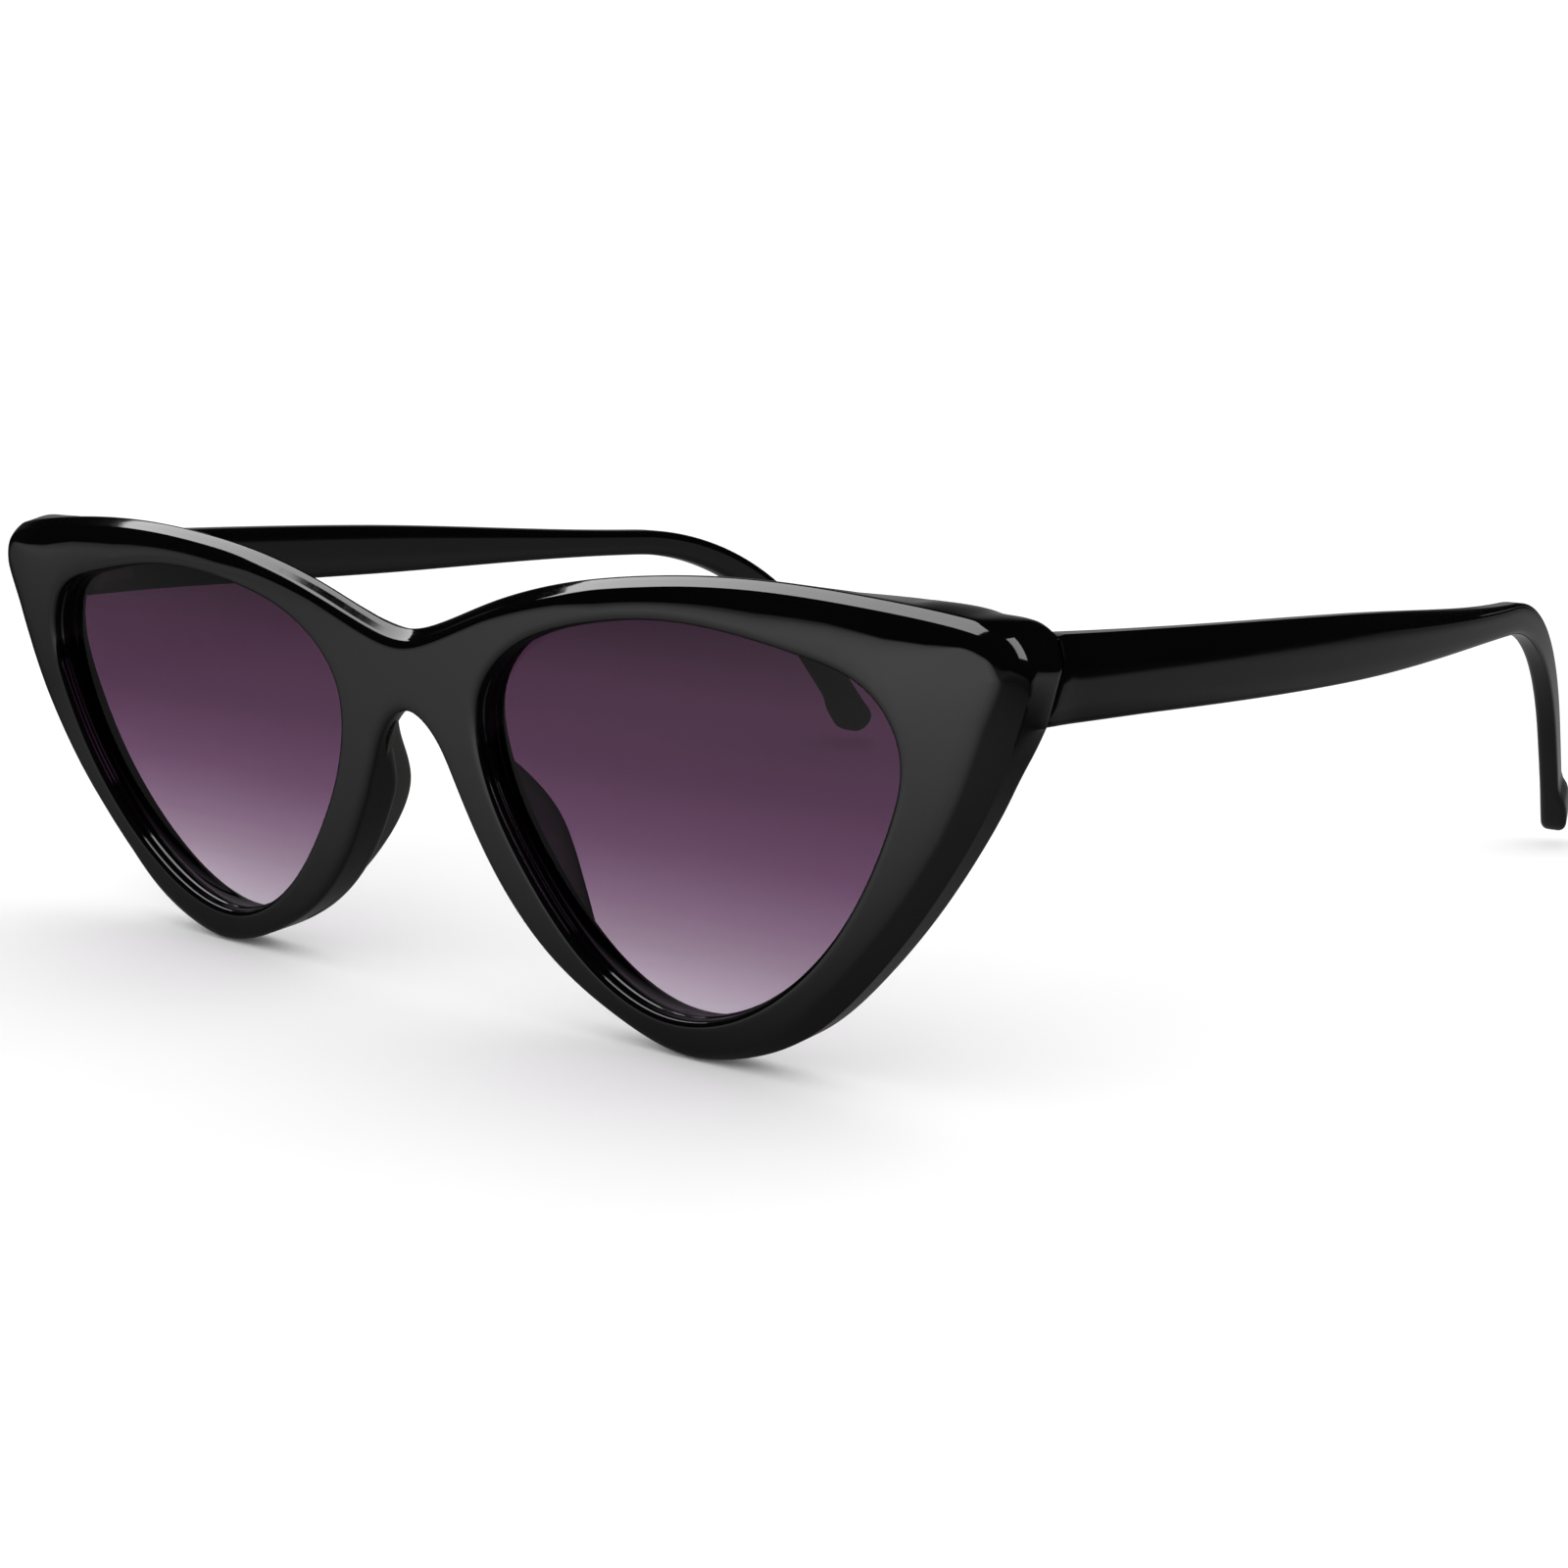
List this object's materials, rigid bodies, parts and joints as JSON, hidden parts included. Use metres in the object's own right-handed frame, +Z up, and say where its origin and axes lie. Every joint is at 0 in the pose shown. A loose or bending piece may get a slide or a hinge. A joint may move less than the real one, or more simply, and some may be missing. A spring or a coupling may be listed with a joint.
{
  "type": "sunglasses",
  "caption": "Cat eye sunglasses with upswept rims, gradient tinted lenses, moulded nose pads, and slim temples that fold on screwed barrel hinges and hook down behind the ears.",
  "frame": {"origin": "centre of the bounding box's footprint, at table level: the open glasses stand on the rim bottoms and the temple tips at Z = 0", "axes": "+Z up; -Y the way the wearer looks, so the front faces -Y; +X the wearer's left"},
  "size_m": [0.147, 0.1436, 0.0459],
  "materials": {
    "frame_plastic": "polished black moulded plastic",
    "pad_plastic": "black plastic, a little duller than the front",
    "lens_tint": "transparent plastic with a plum tint that fades to pale at the bottom",
    "hinge_metal": "nickel silver, satin",
    "screw_metal": "stainless steel, turned"
  },
  "bodies": {
    "front": {"front_frame": "frame_plastic", "left_lens": "lens_tint", "right_lens": "lens_tint", "left_nose_pad": "pad_plastic", "right_nose_pad": "pad_plastic", "left_front_hinge": "hinge_metal", "right_front_hinge": "hinge_metal", "left_hinge_screw": "screw_metal", "right_hinge_screw": "screw_metal"},
    "left_arm": {"left_temple": "frame_plastic", "left_temple_hinge": "hinge_metal"},
    "right_arm": {"right_temple": "frame_plastic", "right_temple_hinge": "hinge_metal"}
  },
  "joints": [
    {"name": "left_temple_fold", "type": "hinge", "parent": "front", "child": "left_arm", "pos_m": [0.06585, -0.06023, 0.0381], "axis": [0, 0, 1], "range_deg": [0, 82]},
    {"name": "right_temple_fold", "type": "hinge", "parent": "front", "child": "right_arm", "pos_m": [-0.06585, -0.06023, 0.0381], "axis": [0, 0, -1], "range_deg": [0, 87]}
  ]
}
